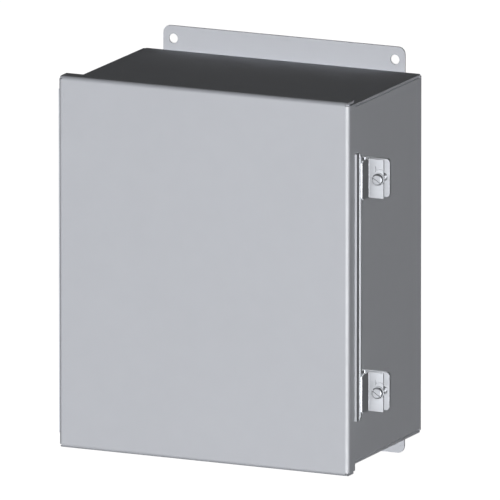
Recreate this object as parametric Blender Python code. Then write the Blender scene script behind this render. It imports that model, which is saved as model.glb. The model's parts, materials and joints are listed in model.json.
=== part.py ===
"""Wall-mounted sheet-steel control cabinet with a hinged cover and two screw clamps.

The origin is the centre of the wall face of the mounting flanges. +X is right, +Y runs into
the wall and +Z is up, so the door faces -Y. Everything is in metres.
"""

from math import acos, asin, cos, pi, radians, sin, tan

import bmesh
import bpy
from mathutils import Vector

# ---- Driving dimensions ---------------------------------------------------------------------

GAP = 0.0003                   # clearance left wherever two pieces bear on each other
SHEET = 0.0019                 # 14 gauge steel of the body, door, flanges and mounting panel
ROUND_STEPS = 28               # sides of a clamp screw's shank or hole
STUD_STEPS = 20                # and of a panel stud's, and its washer's and nut's holes
PIN_STEPS = 16                 # and of the hinge pin's and the small earthing studs'
SMOOTH_ANGLE = radians(32)     # edges sharper than this are shaded as edges

BODY_WIDTH = 0.2540
BODY_HEIGHT = 0.3048
BODY_DEPTH = 0.1524
BODY_BEND = 0.0024             # outer radius of the folds round the back
COLLAR_REACH = 0.0029          # how far the rolled rim of the opening stands out from the wall
COLLAR_BEND = 0.0026           # outer radius of that rim's fold

DOOR_WIDTH = 0.2651
DOOR_HEIGHT = 0.3159
DOOR_BEND = 0.0038             # outer radius of the folds round the door's face
DOOR_FLANGE = 0.0139           # depth of the door's turned-back edge, from its face
DOOR_CORNER_STEP = 0.0015      # step left where two turned-back edges meet
GASKET_WIDTH = 0.0125
GASKET_THICKNESS = 0.0044

FLANGE_WIDTH = 0.2217
FLANGE_RISE = 0.0206           # how far a mounting flange reaches past the body
FLANGE_LAP = 0.0160            # how far it laps over the back
FLANGE_CORNER = 0.0064
WALL_HOLE_RADIUS = 0.0040
WALL_HOLE_X = 0.1016           # half of the 8.00 in hole spacing
WALL_HOLE_Z = 0.1619           # half of the 12.75 in hole spacing

HINGE_LENGTH = 0.2921
HINGE_KNUCKLES = 11
HINGE_SHEET = 0.0011
PIN_RADIUS = 0.0012
KNUCKLE_RADIUS = PIN_RADIUS + GAP + HINGE_SHEET
HINGE_SETBACK = 0.0025         # pin axis behind the rear edge of the door's flange
DOOR_LEAF_LENGTH = 0.0125
BODY_LEAF_LENGTH = 0.0170

RAIL_SHEET = 0.0019
RAIL_BEND = 0.0001             # inner radius of its fold
RAIL_HALF_LENGTH = 0.1130
RAIL_FRONT = 0.0117            # rail's front edge behind the door's face
RAIL_LIP_FRONT = 0.0170        # front face of the lip that the clamps pull on
RAIL_LIP_REACH = 0.0038        # lip's outer edge beyond the door's side
RAIL_LIP_CHAMFER = 0.0045

CLAMP_Z = 0.0903               # height of each clamp above or below the middle
CLAMP_HEIGHT = 0.0328
CLAMP_SHEET = 0.0015
CLAMP_NOSE_FRONT = 0.0150      # behind the door's face, as are the next distances
CLAMP_PLATE_FRONT = 0.0280
CLAMP_ARM_REACH = 0.0057       # arm's outer face beyond the door's side
CLAMP_PLATE_REACH = 0.0190     # plate's outer edge beyond the door's side
CLAMP_BEND = 0.0003            # inner radius of the clamp's folds
SCREW_REACH = 0.0149           # screw axis beyond the door's side
SCREW_RADIUS = 0.0031
SCREW_TIP = 0.0415
SCREW_HOLE = SCREW_RADIUS + GAP
SCREW_HEAD_RADIUS = 0.0047
SCREW_HEAD_HEIGHT = 0.0036
SCREW_CROWN_RADIUS = 0.0020      # flat middle of the domed head
SCREW_CROWN_DROP = 0.0002      # how far the dome falls from there to the start of its edge
SCREW_HEAD_EDGE = 0.0012       # width of the head's rounded edge
SCREW_TIP_CHAMFER = 0.0008
SCREW_SLOT_WIDTH = 0.0013
SCREW_SLOT_DEPTH = 0.0014
SCREW_SLOT_ANGLE = radians(-32)
WASHER_RADIUS = 0.0053
WASHER_THICKNESS = 0.0008
CLAMP_SLIDE = 0.0024           # sideways play that the slotted hole gives the clamp

BRACKET_FRONT = 0.0375
BRACKET_SHEET = 0.0027
BRACKET_REACH = 0.02025        # outer edge beyond the door's side
BRACKET_HEIGHT = 0.0323
BRACKET_BEND = 0.0010          # inner radius of its fold
BRACKET_LEG = 0.0170           # length of the side welded to the body, forward from its back
BRACKET_CORNER = 0.0032
BRACKET_DROP = 0.0007          # bracket's middle below the screw

PANEL_WIDTH = 0.2255
PANEL_HEIGHT = 0.2731
PANEL_STANDOFF = 0.0127
PANEL_CORNER = 0.0060
PANEL_STUD_X = 0.1000
PANEL_STUD_Z = 0.1238
STUD_RADIUS = 0.0031
STUD_COLLAR_RADIUS = 0.0064
STUD_PAST_PANEL = 0.0135
STUD_TIP_CHAMFER = 0.0006
NUT_ACROSS_FLATS = 0.0111
NUT_HEIGHT = 0.0056
STAR_WASHER_RADIUS = 0.0062
STAR_WASHER_THICKNESS = 0.0010

GROUND_STUD_RADIUS = 0.0024
GROUND_STUD_LENGTH = 0.0160
GROUND_NUT_ACROSS_FLATS = 0.0095
GROUND_NUT_HEIGHT = 0.0032
GROUND_WASHER_RADIUS = 0.0050
BODY_GROUND_X = -0.0700
BODY_GROUND_Z = -0.1437
DOOR_GROUND_X = -0.0950
DOOR_GROUND_Z = -0.1150

# ---- Planes and axes worked out from them ---------------------------------------------------

BODY_BACK = -(SHEET + GAP)
BODY_FRONT = BODY_BACK - BODY_DEPTH
BODY_FLOOR = BODY_BACK - SHEET
DOOR_FACE = BODY_FRONT - GAP - GASKET_THICKNESS - GAP - SHEET
DOOR_SIDE = DOOR_WIDTH / 2
BODY_SIDE = BODY_WIDTH / 2
HINGE_X = -(DOOR_SIDE + GAP + KNUCKLE_RADIUS)
HINGE_Y = DOOR_FACE + DOOR_FLANGE + HINGE_SETBACK
SCREW_X = DOOR_SIDE + SCREW_REACH
HEAD_SEAT = DOOR_FACE + CLAMP_PLATE_FRONT - GAP - WASHER_THICKNESS - GAP
PANEL_BACK = BODY_FLOOR - GAP - PANEL_STANDOFF - GAP
PANEL_FACE = PANEL_BACK - SHEET


# ---- Making materials, meshes and objects ---------------------------------------------------

def clear_scene():
    for item in list(bpy.data.objects):
        bpy.data.objects.remove(item)


def make_material(name, colour, roughness, metallic):
    look = bpy.data.materials.new(name)
    look.use_nodes = True
    shader = look.node_tree.nodes["Principled BSDF"]
    shader.inputs["Base Color"].default_value = (*colour, 1.0)
    shader.inputs["Roughness"].default_value = roughness
    shader.inputs["Metallic"].default_value = metallic
    return look


def add_object(name, shape, look, origin=(0.0, 0.0, 0.0)):
    """Link a bmesh drawn in world coordinates as an object whose origin is `origin`."""
    bmesh.ops.recalc_face_normals(shape, faces=shape.faces)
    bmesh.ops.translate(shape, vec=-Vector(origin), verts=shape.verts)
    mesh = bpy.data.meshes.new(name)
    shape.to_mesh(mesh)
    shape.free()
    mesh.shade_smooth()
    mesh.set_sharp_from_angle(angle=SMOOTH_ANGLE)
    mesh.materials.append(look)
    item = bpy.data.objects.new(name, mesh)
    item.location = origin
    bpy.context.scene.collection.objects.link(item)
    return item


def cut(item, cutter_shape):
    """Take a bmesh drawn in world coordinates away from an object."""
    cutter = add_object(item.name + "_cutter", cutter_shape, item.data.materials[0])
    cutter.hide_render = True
    cutter.display_type = "WIRE"
    modifier = item.modifiers.new("Cut", "BOOLEAN")
    modifier.operation = "DIFFERENCE"
    modifier.solver = "EXACT"
    modifier.object = cutter


# ---- Outlines ---------------------------------------------------------------------------------

def arc(centre, radius, start, end, steps):
    """Points on a circle from angle `start` to `end`, both included."""
    angles = [start + (end - start) * step / steps for step in range(steps + 1)]
    return [(centre[0] + radius * cos(a), centre[1] + radius * sin(a)) for a in angles]


def circle(centre, radius, steps=ROUND_STEPS):
    return arc(centre, radius, 0.0, 2 * pi, steps)[:-1]


def rectangle(left, right, low, high):
    return [(left, low), (right, low), (right, high), (left, high)]


def rounded_rectangle(left, right, low, high, radius, steps=4):
    corners = ((right - radius, high - radius, 0.0), (left + radius, high - radius, pi / 2),
               (left + radius, low + radius, pi), (right - radius, low + radius, 1.5 * pi))
    outline = []
    for x, z, start in corners:
        outline += arc((x, z), radius, start, start + pi / 2, steps)
    return outline


def slot_outline(left, right, middle, radius, steps=12):
    """A hole with round ends centred on `left` and `right`."""
    return (arc((right, middle), radius, -pi / 2, pi / 2, steps)
            + arc((left, middle), radius, pi / 2, 1.5 * pi, steps))


def hexagon(centre, across_flats):
    return circle(centre, across_flats / 2 / cos(pi / 6), steps=6)


def folded_strip(path, thickness, bend, steps=4):
    """Outline of a folded sheet: `path` is its middle line and `bend` its inner fold radius."""
    points = [Vector(point) for point in path]
    radius = bend + thickness / 2
    line = [(points[0], (points[1] - points[0]).normalized())]
    for before, corner, after in zip(points, points[1:], points[2:]):
        entry, leave = (corner - before).normalized(), (after - corner).normalized()
        turn = entry.angle_signed(leave) * -1
        side = 1 if turn > 0 else -1
        start = corner - entry * radius * tan(abs(turn) / 2)
        centre = start + Vector((-entry.y, entry.x)) * radius * side
        for step in range(steps + 1):
            turned = turn * step / steps
            arm = start - centre
            arm = Vector((arm.x * cos(turned) - arm.y * sin(turned),
                          arm.x * sin(turned) + arm.y * cos(turned)))
            tangent = Vector((-arm.y, arm.x)).normalized() * side
            line.append((centre + arm, tangent))
    line.append((points[-1], (points[-1] - points[-2]).normalized()))
    offset = thickness / 2
    left = [(p.x - t.y * offset, p.y + t.x * offset) for p, t in line]
    right = [(p.x + t.y * offset, p.y - t.x * offset) for p, t in line]
    return left + right[::-1]


# ---- Solids from outlines ---------------------------------------------------------------------

def upright(shape, outline, low, high):
    """Add a prism whose outline lies in the XY plane, from z = `low` to `high`."""
    extrude(shape, [Vector((x, y, low)) for x, y in outline], Vector((0, 0, high - low)))


def facing(shape, outline, front, back):
    """Add a prism whose outline lies in the XZ plane, from y = `front` to `back`."""
    extrude(shape, [Vector((x, front, z)) for x, z in outline], Vector((0, back - front, 0)))


def extrude(shape, corners, travel):
    near = [shape.verts.new(corner) for corner in corners]
    far = [shape.verts.new(corner + travel) for corner in corners]
    shape.faces.new(near)
    shape.faces.new(far)
    bridge(shape, near, far)


def bridge(shape, ring, other):
    for here in range(len(ring)):
        there = (here + 1) % len(ring)
        shape.faces.new((ring[here], ring[there], other[there], other[here]))


def prism(plane, *outline_and_ends):
    shape = bmesh.new()
    plane(shape, *outline_and_ends)
    return shape


def turned_along_y(profile, axis_x, axis_z, closed, steps=ROUND_STEPS):
    """Turn (radius, y) points round an axis parallel to Y; `closed` profiles make a ring."""
    shape = bmesh.new()
    rings = []
    for radius, y in profile:
        ring = [shape.verts.new((x, y, z)) for x, z in circle((axis_x, axis_z), radius, steps)]
        rings.append(ring)
    join_rings(shape, rings, closed)
    return shape


def framed(profile, half_width, half_height, closed):
    """Sweep (outward offset, y) points round a rectangle with mitred corners.

    An open profile is closed by a flat sheet at each of its ends, which makes a tray.
    """
    shape = bmesh.new()
    rings = []
    for offset, y in profile:
        corners = rectangle(-half_width - offset, half_width + offset,
                            -half_height - offset, half_height + offset)
        rings.append([shape.verts.new((x, y, z)) for x, z in corners])
    join_rings(shape, rings, closed)
    return shape


def join_rings(shape, rings, closed):
    for ring, other in zip(rings, rings[1:]):
        bridge(shape, ring, other)
    if closed:
        bridge(shape, rings[-1], rings[0])
    else:
        shape.faces.new(rings[0])
        shape.faces.new(rings[-1])


def bevel_edges(shape, wanted, width, steps):
    """Round the edges for which `wanted(start, end)` holds."""
    edges = [edge for edge in shape.edges if wanted(edge.verts[0].co, edge.verts[1].co)]
    bmesh.ops.bevel(shape, geom=edges, offset=width, segments=steps, profile=0.5,
                    affect="EDGES", clamp_overlap=True)


# ---- Body ---------------------------------------------------------------------------------------

def build_body(paint):
    """One folded pan with welded corners and a rolled rim round its opening."""
    inner_bend = BODY_BEND - SHEET
    back_fold = [(offset, y) for y, offset in
                 arc((BODY_BACK - BODY_BEND, -BODY_BEND), BODY_BEND, 0.0, pi / 2, 3)]
    rim = [(0.0, BODY_FRONT + SHEET), (COLLAR_REACH, BODY_FRONT + SHEET),
           (COLLAR_REACH, BODY_FRONT)]
    rim += arc((COLLAR_BEND - SHEET, BODY_FRONT + COLLAR_BEND), COLLAR_BEND,
               -pi / 2, -pi, 4)
    floor_fold = [(-SHEET, BODY_FLOOR - inner_bend), (-SHEET - inner_bend, BODY_FLOOR)]
    shape = framed(back_fold + rim + floor_fold, BODY_SIDE, BODY_HEIGHT / 2, closed=False)
    return add_object("enclosure_body", shape, paint)


def build_mounting_flange(name, side, paint):
    """A flat ear lapped on the back; `side` is 1 for the top one and -1 for the bottom one."""
    outer = BODY_HEIGHT / 2 + FLANGE_RISE
    inner = BODY_HEIGHT / 2 - FLANGE_LAP
    half = FLANGE_WIDTH / 2
    centre_x, centre_z = half - FLANGE_CORNER, outer - FLANGE_CORNER
    top = [(half, inner)]
    top += arc((centre_x, centre_z), FLANGE_CORNER, 0.0, pi / 2, 8)
    top += arc((-centre_x, centre_z), FLANGE_CORNER, pi / 2, pi, 8)
    top += [(-half, inner)]
    outline = [(x, side * z) for x, z in top]
    flange = add_object(name, prism(facing, outline, -SHEET, 0.0), paint)
    holes = bmesh.new()
    for x in (-WALL_HOLE_X, WALL_HOLE_X):
        facing(holes, circle((x, side * WALL_HOLE_Z), WALL_HOLE_RADIUS), -2 * SHEET, SHEET)
    cut(flange, holes)
    return flange


# ---- Door -----------------------------------------------------------------------------------------

def build_door(paint):
    """A folded tray; its four turned-back edges meet in small open steps at the corners."""
    inner_bend = DOOR_BEND - SHEET
    fold = arc((-DOOR_BEND, DOOR_FACE + DOOR_BEND), DOOR_BEND, -pi / 2, 0.0, 5)
    edge = [(0.0, DOOR_FACE + DOOR_FLANGE), (-SHEET, DOOR_FACE + DOOR_FLANGE)]
    inner_fold = arc((-DOOR_BEND, DOOR_FACE + DOOR_BEND), inner_bend, 0.0, -pi / 2, 3)
    shape = framed(fold + edge + inner_fold, DOOR_SIDE, DOOR_HEIGHT / 2, closed=False)
    door = add_object("door", shape, paint, (HINGE_X, HINGE_Y, 0.0))
    steps = bmesh.new()
    for side in (-1, 1):
        for level in (-1, 1):
            x, z = side * DOOR_SIDE, level * DOOR_HEIGHT / 2
            corner = rectangle(x - DOOR_CORNER_STEP, x + DOOR_CORNER_STEP,
                               z - DOOR_CORNER_STEP, z + DOOR_CORNER_STEP)
            facing(steps, corner, DOOR_FACE - SHEET, DOOR_FACE + DOOR_FLANGE + SHEET)
    cut(door, steps)
    return door


def build_gasket(rubber):
    """A strip of foam rubber round the door's inside, which closes on the body's rim."""
    front = DOOR_FACE + SHEET + GAP
    back = front + GASKET_THICKNESS
    outer = -DOOR_BEND - GAP
    profile = [(outer, front), (outer, back), (outer - GASKET_WIDTH, back),
               (outer - GASKET_WIDTH, front)]
    shape = framed(profile, DOOR_SIDE, DOOR_HEIGHT / 2, closed=True)
    return add_object("door_gasket", shape, rubber, (HINGE_X, HINGE_Y, 0.0))


def build_rail(steel):
    """An angle along the door's free side; the clamps pull on its outward lip."""
    inner = DOOR_SIDE + GAP
    lip_edge = DOOR_SIDE + RAIL_LIP_REACH
    front = DOOR_FACE + RAIL_FRONT
    lip_middle = DOOR_FACE + RAIL_LIP_FRONT + RAIL_SHEET / 2
    path = [(inner + RAIL_SHEET / 2, front), (inner + RAIL_SHEET / 2, lip_middle),
            (lip_edge, lip_middle)]
    outline = folded_strip(path, RAIL_SHEET, RAIL_BEND)
    shape = prism(upright, outline, -RAIL_HALF_LENGTH, RAIL_HALF_LENGTH)
    rail = add_object("clamp_rail", shape, steel, (HINGE_X, HINGE_Y, 0.0))
    chamfers = bmesh.new()
    root = inner + RAIL_SHEET
    for side in (-1, 1):
        corner = [(root, side * (RAIL_HALF_LENGTH + GAP)),
                  (lip_edge + GAP, side * (RAIL_HALF_LENGTH + GAP)),
                  (lip_edge + GAP, side * (RAIL_HALF_LENGTH - RAIL_LIP_CHAMFER))]
        facing(chamfers, corner, front, lip_middle + RAIL_SHEET)
    cut(rail, chamfers)
    return rail


# ---- Hinge ----------------------------------------------------------------------------------------

def knuckle_bounds(index):
    length = HINGE_LENGTH / HINGE_KNUCKLES
    low = -HINGE_LENGTH / 2 + index * length
    return low, low + length


def cut_knuckles(leaf, first, reach_x, reach_y):
    """Clear the pin's bore and, in every second place, the other leaf's knuckles."""
    half = HINGE_LENGTH / 2 + GAP
    bore = circle((HINGE_X, HINGE_Y), PIN_RADIUS + GAP, PIN_STEPS)
    cut(leaf, prism(upright, bore, -half, half))
    clearance = bmesh.new()
    outline = rectangle(HINGE_X - 2 * KNUCKLE_RADIUS, HINGE_X + reach_x,
                        HINGE_Y - reach_y, HINGE_Y + 2 * KNUCKLE_RADIUS)
    for index in range(first, HINGE_KNUCKLES, 2):
        low, high = knuckle_bounds(index)
        upright(clearance, outline, low - GAP / 2, high + GAP / 2)
    cut(leaf, clearance)


def build_door_leaf(steel):
    """A strip on the door's side whose end rolls round the pin."""
    right = HINGE_X + KNUCKLE_RADIUS
    left = right - HINGE_SHEET
    front = HINGE_Y - DOOR_LEAF_LENGTH
    meets_left = 2 * pi - acos((left - HINGE_X) / KNUCKLE_RADIUS)
    outline = [(right, front)]
    outline += arc((HINGE_X, HINGE_Y), KNUCKLE_RADIUS, 0.0, meets_left, 20)
    outline += [(left, front)]
    shape = prism(upright, outline, -HINGE_LENGTH / 2, HINGE_LENGTH / 2)
    leaf = add_object("hinge_door_leaf", shape, steel, (HINGE_X, HINGE_Y, 0.0))
    cut_knuckles(leaf, first=0, reach_x=2 * KNUCKLE_RADIUS, reach_y=KNUCKLE_RADIUS + GAP)
    return leaf


def build_body_leaf(steel):
    """A strip on the body's side that steps out past the door's edge to the pin."""
    back = HINGE_Y + KNUCKLE_RADIUS
    front = back - HINGE_SHEET
    wall = -(BODY_SIDE + GAP)
    end = back + BODY_LEAF_LENGTH
    bend = HINGE_SHEET
    meets_front = 2 * pi + asin((front - HINGE_Y) / KNUCKLE_RADIUS)
    outline = arc((HINGE_X, HINGE_Y), KNUCKLE_RADIUS, pi / 2, meets_front, 20)
    outline += arc((wall - bend - HINGE_SHEET, front + bend + HINGE_SHEET),
                   bend + HINGE_SHEET, -pi / 2, 0.0, 4)
    outline += [(wall, end), (wall - HINGE_SHEET, end)]
    outline += arc((wall - bend - HINGE_SHEET, back + bend), bend, 0.0, -pi / 2, 4)
    shape = prism(upright, outline, -HINGE_LENGTH / 2, HINGE_LENGTH / 2)
    leaf = add_object("hinge_body_leaf", shape, steel)
    cut_knuckles(leaf, first=1, reach_x=KNUCKLE_RADIUS + GAP, reach_y=2 * KNUCKLE_RADIUS)
    return leaf


def build_hinge_pin(steel):
    half = HINGE_LENGTH / 2 + 2 * GAP
    shape = prism(upright, circle((HINGE_X, HINGE_Y), PIN_RADIUS, PIN_STEPS), -half, half)
    return add_object("hinge_pin", shape, steel)


# ---- Clamps ---------------------------------------------------------------------------------------

def build_clamp(name, height, steel):
    """A Z-shaped finger: nose before the door's rail, arm, and plate under the screw."""
    middle = CLAMP_SHEET / 2
    arm = DOOR_SIDE + CLAMP_ARM_REACH - middle
    nose_edge = DOOR_SIDE + RAIL_LIP_REACH + GAP
    nose = DOOR_FACE + CLAMP_NOSE_FRONT + middle
    plate = DOOR_FACE + CLAMP_PLATE_FRONT + middle
    path = [(nose_edge, nose), (arm, nose), (arm, plate), (DOOR_SIDE + CLAMP_PLATE_REACH, plate)]
    outline = folded_strip(path, CLAMP_SHEET, CLAMP_BEND)
    low, high = height - CLAMP_HEIGHT / 2, height + CLAMP_HEIGHT / 2
    clamp = add_object(name, prism(upright, outline, low, high), steel,
                       (SCREW_X, DOOR_FACE + CLAMP_PLATE_FRONT, height))
    slot = slot_outline(SCREW_X - CLAMP_SLIDE, SCREW_X, height, SCREW_HOLE)
    cut(clamp, prism(facing, slot, plate - CLAMP_SHEET, plate + CLAMP_SHEET))
    return clamp


def build_clamp_washer(name, height, steel):
    back = DOOR_FACE + CLAMP_PLATE_FRONT - GAP
    front = back - WASHER_THICKNESS
    profile = [(SCREW_HOLE, front), (SCREW_HOLE, back), (WASHER_RADIUS, back),
               (WASHER_RADIUS, front)]
    shape = turned_along_y(profile, SCREW_X, height, closed=True)
    return add_object(name, shape, steel, (SCREW_X, front, height))


def build_clamp_screw(name, height, steel):
    """A slotted screw with a low domed head."""
    front = HEAD_SEAT - SCREW_HEAD_HEIGHT
    tip = DOOR_FACE + SCREW_TIP
    edge_front = front + SCREW_CROWN_DROP
    edge_centre = (SCREW_HEAD_RADIUS - SCREW_HEAD_EDGE, edge_front + SCREW_HEAD_EDGE)
    profile = [(SCREW_CROWN_RADIUS, front)]
    profile += arc(edge_centre, SCREW_HEAD_EDGE, -pi / 2, 0.0, 3)
    profile += [(SCREW_HEAD_RADIUS, HEAD_SEAT), (SCREW_RADIUS, HEAD_SEAT),
                (SCREW_RADIUS, tip - SCREW_TIP_CHAMFER), (SCREW_RADIUS - SCREW_TIP_CHAMFER, tip)]
    shape = turned_along_y(profile, SCREW_X, height, closed=False)
    screw = add_object(name, shape, steel, (SCREW_X, HEAD_SEAT, height))
    slot = prism(facing, rectangle(-2 * SCREW_HEAD_RADIUS, 2 * SCREW_HEAD_RADIUS,
                                   -SCREW_SLOT_WIDTH / 2, SCREW_SLOT_WIDTH / 2),
                 front - SCREW_SLOT_DEPTH, front + SCREW_SLOT_DEPTH)
    for vertex in slot.verts:
        x, z = vertex.co.x, vertex.co.z
        vertex.co.x = SCREW_X + x * cos(SCREW_SLOT_ANGLE) - z * sin(SCREW_SLOT_ANGLE)
        vertex.co.z = height + x * sin(SCREW_SLOT_ANGLE) + z * cos(SCREW_SLOT_ANGLE)
    cut(screw, slot)
    return screw


def build_clamp_bracket(name, height, steel):
    """An angle welded to the body's side and tapped for the clamp's screw."""
    outer = DOOR_SIDE + BRACKET_REACH
    front = DOOR_FACE + BRACKET_FRONT
    leg = BODY_SIDE + GAP + BRACKET_SHEET / 2
    path = [(outer, front + BRACKET_SHEET / 2), (leg, front + BRACKET_SHEET / 2),
            (leg, front + BRACKET_SHEET - BRACKET_LEG)]
    outline = folded_strip(path, BRACKET_SHEET, BRACKET_BEND)
    middle = height - BRACKET_DROP
    low, high = middle - BRACKET_HEIGHT / 2, middle + BRACKET_HEIGHT / 2
    shape = prism(upright, outline, low, high)
    bevel_edges(shape, lambda a, b: min(a.x, b.x) > outer - GAP and abs(a.z - b.z) < GAP,
                BRACKET_CORNER, 4)
    bracket = add_object(name, shape, steel, (SCREW_X, front, height))
    hole = circle((SCREW_X, height), SCREW_HOLE)
    cut(bracket, prism(facing, hole, front - BRACKET_SHEET, front + 2 * BRACKET_SHEET))
    return bracket


# ---- Inside ---------------------------------------------------------------------------------------

def build_panel(paint):
    """The plate that carries the equipment, held off the back on four studs."""
    outline = rounded_rectangle(-PANEL_WIDTH / 2, PANEL_WIDTH / 2,
                                -PANEL_HEIGHT / 2, PANEL_HEIGHT / 2, PANEL_CORNER)
    panel = add_object("mounting_panel", prism(facing, outline, PANEL_FACE, PANEL_BACK), paint)
    holes = bmesh.new()
    for x in (-PANEL_STUD_X, PANEL_STUD_X):
        for z in (-PANEL_STUD_Z, PANEL_STUD_Z):
            hole = circle((x, z), STUD_RADIUS + 2 * GAP)
            facing(holes, hole, PANEL_FACE - SHEET, PANEL_BACK + SHEET)
    cut(panel, holes)
    return panel


def build_panel_stud(name, x, z, zinc):
    """A collar stud welded to the back; its shoulder holds the panel off."""
    base = BODY_FLOOR - GAP
    shoulder = base - PANEL_STANDOFF
    tip = PANEL_FACE - STUD_PAST_PANEL
    profile = [(STUD_COLLAR_RADIUS, base), (STUD_COLLAR_RADIUS, shoulder),
               (STUD_RADIUS, shoulder), (STUD_RADIUS, tip + STUD_TIP_CHAMFER),
               (STUD_RADIUS - STUD_TIP_CHAMFER, tip)]
    shape = turned_along_y(profile, x, z, closed=False, steps=STUD_STEPS)
    return add_object(name, shape, zinc, (x, base, z))


def build_washer_y(name, x, z, back, inner, outer, steel):
    front = back - STAR_WASHER_THICKNESS
    profile = [(inner, front), (inner, back), (outer, back), (outer, front)]
    shape = turned_along_y(profile, x, z, closed=True, steps=STUD_STEPS)
    return add_object(name, shape, steel, (x, back, z))


def build_nut_y(name, x, z, ends, across_flats, bore, steel):
    front, back = ends
    nut = add_object(name, prism(facing, hexagon((x, z), across_flats), front, back), steel,
                     (x, back, z))
    hole = circle((x, z), bore, STUD_STEPS)
    cut(nut, prism(facing, hole, front - NUT_HEIGHT, back + NUT_HEIGHT))
    return nut


def build_panel_fixings(zinc):
    places = {"upper_left": (-1, 1), "upper_right": (1, 1),
              "lower_left": (-1, -1), "lower_right": (1, -1)}
    for place, (side, level) in places.items():
        x, z = side * PANEL_STUD_X, level * PANEL_STUD_Z
        build_panel_stud("panel_stud_" + place, x, z, zinc)
        seat = PANEL_FACE - GAP
        build_washer_y("panel_washer_" + place, x, z, seat, STUD_RADIUS + GAP,
                       STAR_WASHER_RADIUS, zinc)
        back = seat - STAR_WASHER_THICKNESS - GAP
        build_nut_y("panel_nut_" + place, x, z, (back - NUT_HEIGHT, back), NUT_ACROSS_FLATS,
                    STUD_RADIUS + GAP, zinc)


def build_earthing(place, x, z, base, inward, zinc):
    """A welded stud with its washer and nut; it points along Y by the sign of `inward`."""
    tip = base + inward * GROUND_STUD_LENGTH
    profile = [(GROUND_STUD_RADIUS, base), (GROUND_STUD_RADIUS, tip - inward * STUD_TIP_CHAMFER),
               (GROUND_STUD_RADIUS - STUD_TIP_CHAMFER, tip)]
    shape = turned_along_y(profile, x, z, closed=False, steps=PIN_STEPS)
    add_object(place + "_ground_stud", shape, zinc, (x, base, z))
    bore = GROUND_STUD_RADIUS + GAP
    seat = base + inward * STAR_WASHER_THICKNESS
    build_washer_y(place + "_ground_washer", x, z, max(base, seat), bore,
                   GROUND_WASHER_RADIUS, zinc)
    ends = sorted((seat + inward * GAP, seat + inward * (GAP + GROUND_NUT_HEIGHT)))
    build_nut_y(place + "_ground_nut", x, z, ends, GROUND_NUT_ACROSS_FLATS, bore, zinc)


# ---- Assembly -------------------------------------------------------------------------------------

def main():
    clear_scene()
    paint = make_material("grey_powder_coat", (0.50, 0.52, 0.57), 0.45, 0.0)
    white = make_material("white_panel_enamel", (0.80, 0.80, 0.78), 0.40, 0.0)
    stainless = make_material("stainless_steel", (0.62, 0.64, 0.68), 0.30, 1.0)
    zinc = make_material("zinc_plated_steel", (0.66, 0.64, 0.58), 0.35, 1.0)
    rubber = make_material("black_foam_rubber", (0.03, 0.03, 0.03), 0.85, 0.0)

    build_body(paint)
    build_mounting_flange("top_mounting_flange", 1, paint)
    build_mounting_flange("bottom_mounting_flange", -1, paint)
    build_door(paint)
    build_gasket(rubber)
    build_rail(stainless)
    build_body_leaf(stainless)
    build_door_leaf(stainless)
    build_hinge_pin(stainless)
    for label, height in (("upper", CLAMP_Z), ("lower", -CLAMP_Z)):
        build_clamp(label + "_clamp", height, stainless)
        build_clamp_washer(label + "_clamp_washer", height, stainless)
        build_clamp_screw(label + "_clamp_screw", height, stainless)
        build_clamp_bracket(label + "_clamp_bracket", height, stainless)
    build_panel(white)
    build_panel_fixings(zinc)
    build_earthing("body", BODY_GROUND_X, BODY_GROUND_Z, BODY_FLOOR - GAP, -1, zinc)
    build_earthing("door", DOOR_GROUND_X, DOOR_GROUND_Z, DOOR_FACE + SHEET + GAP, 1, zinc)


main()
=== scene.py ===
"""Visual model of a wall-mounted steel control cabinet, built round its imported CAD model.

Everything is in metres in the CAD frame: +X right, +Y into the wall, +Z up.
"""

import json
from math import acos, asin, cos, pi, radians, sin, tan

import bmesh
import bpy
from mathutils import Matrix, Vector


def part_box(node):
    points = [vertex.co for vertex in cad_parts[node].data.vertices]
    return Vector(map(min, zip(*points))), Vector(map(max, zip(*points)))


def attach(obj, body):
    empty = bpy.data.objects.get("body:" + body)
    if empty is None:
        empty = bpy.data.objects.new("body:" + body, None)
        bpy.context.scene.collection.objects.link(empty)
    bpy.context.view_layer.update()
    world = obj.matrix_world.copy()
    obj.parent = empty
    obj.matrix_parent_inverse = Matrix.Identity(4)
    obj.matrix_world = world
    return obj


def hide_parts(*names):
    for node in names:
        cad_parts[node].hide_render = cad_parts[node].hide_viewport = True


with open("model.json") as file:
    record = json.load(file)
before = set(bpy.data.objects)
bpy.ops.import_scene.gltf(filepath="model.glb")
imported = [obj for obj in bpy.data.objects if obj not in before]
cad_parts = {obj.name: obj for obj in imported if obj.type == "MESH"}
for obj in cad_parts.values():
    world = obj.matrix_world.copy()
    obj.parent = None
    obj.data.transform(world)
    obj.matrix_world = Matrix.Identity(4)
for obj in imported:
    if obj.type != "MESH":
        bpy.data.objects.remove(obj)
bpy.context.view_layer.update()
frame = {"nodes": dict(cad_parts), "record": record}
UP = Vector((0, 0, 1))

# ---- Sizes that a node's box does not give --------------------------------------------------

GAP = 0.0003                   # clearance between pieces that bear on each other
SHEET = 0.0019                 # steel of body, door, flanges and panel
DOOR_STEP = 0.00145            # how far the door's top and bottom edges stop short at its corners
DOOR_SLIT = 0.0009             # open gap under them, where the side edges begin
SEAM_WIDTH, SEAM_DEPTH = 0.0008, 0.0014     # groove beside each welded corner of the body
BACK_RELIEF = 0.0040           # notch where the body's folds meet at its back corners
CORNER_CUT = 0.9 * SHEET       # how deep that notch goes into the sheet
PAINT_EDGE = 0.00028           # rounding of a painted edge
STEEL_EDGE = 0.00016           # and of a bare one
EDGE_SEGMENTS = 2
SHARP_ANGLE = 35               # degrees at which a fold counts as an edge

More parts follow.
